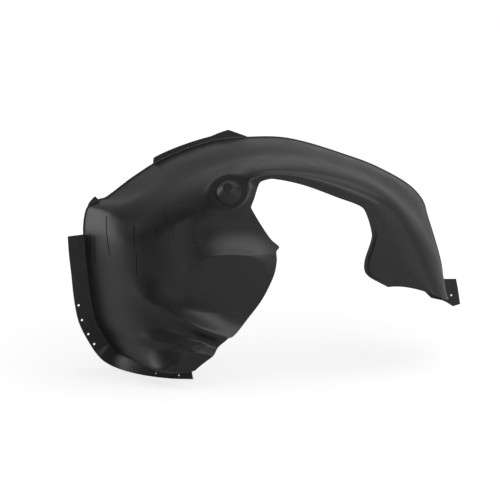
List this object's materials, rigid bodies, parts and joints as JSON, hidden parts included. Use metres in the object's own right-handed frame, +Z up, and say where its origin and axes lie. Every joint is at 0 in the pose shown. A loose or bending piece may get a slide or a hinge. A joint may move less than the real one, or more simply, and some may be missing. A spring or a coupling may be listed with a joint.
{
  "type": "wheel arch liner",
  "caption": "Moulded wheel arch liner: a domed half shell with fender flanges, a strut notch, a relief-pressed rear wall, a fastening cone and a front leg with a screw tab.",
  "frame": {"origin": "on the wheel axis, in the plane of the fender flange", "axes": "+X towards the front of the car, +Y outwards along the wheel axis, +Z up"},
  "size_m": [0.82, 0.2715, 0.453],
  "materials": {
    "liner_plastic": "black moulded thermoplastic with a fine satin grain"
  },
  "bodies": {
    "root": {"arch_liner": "liner_plastic"}
  },
  "joints": []
}
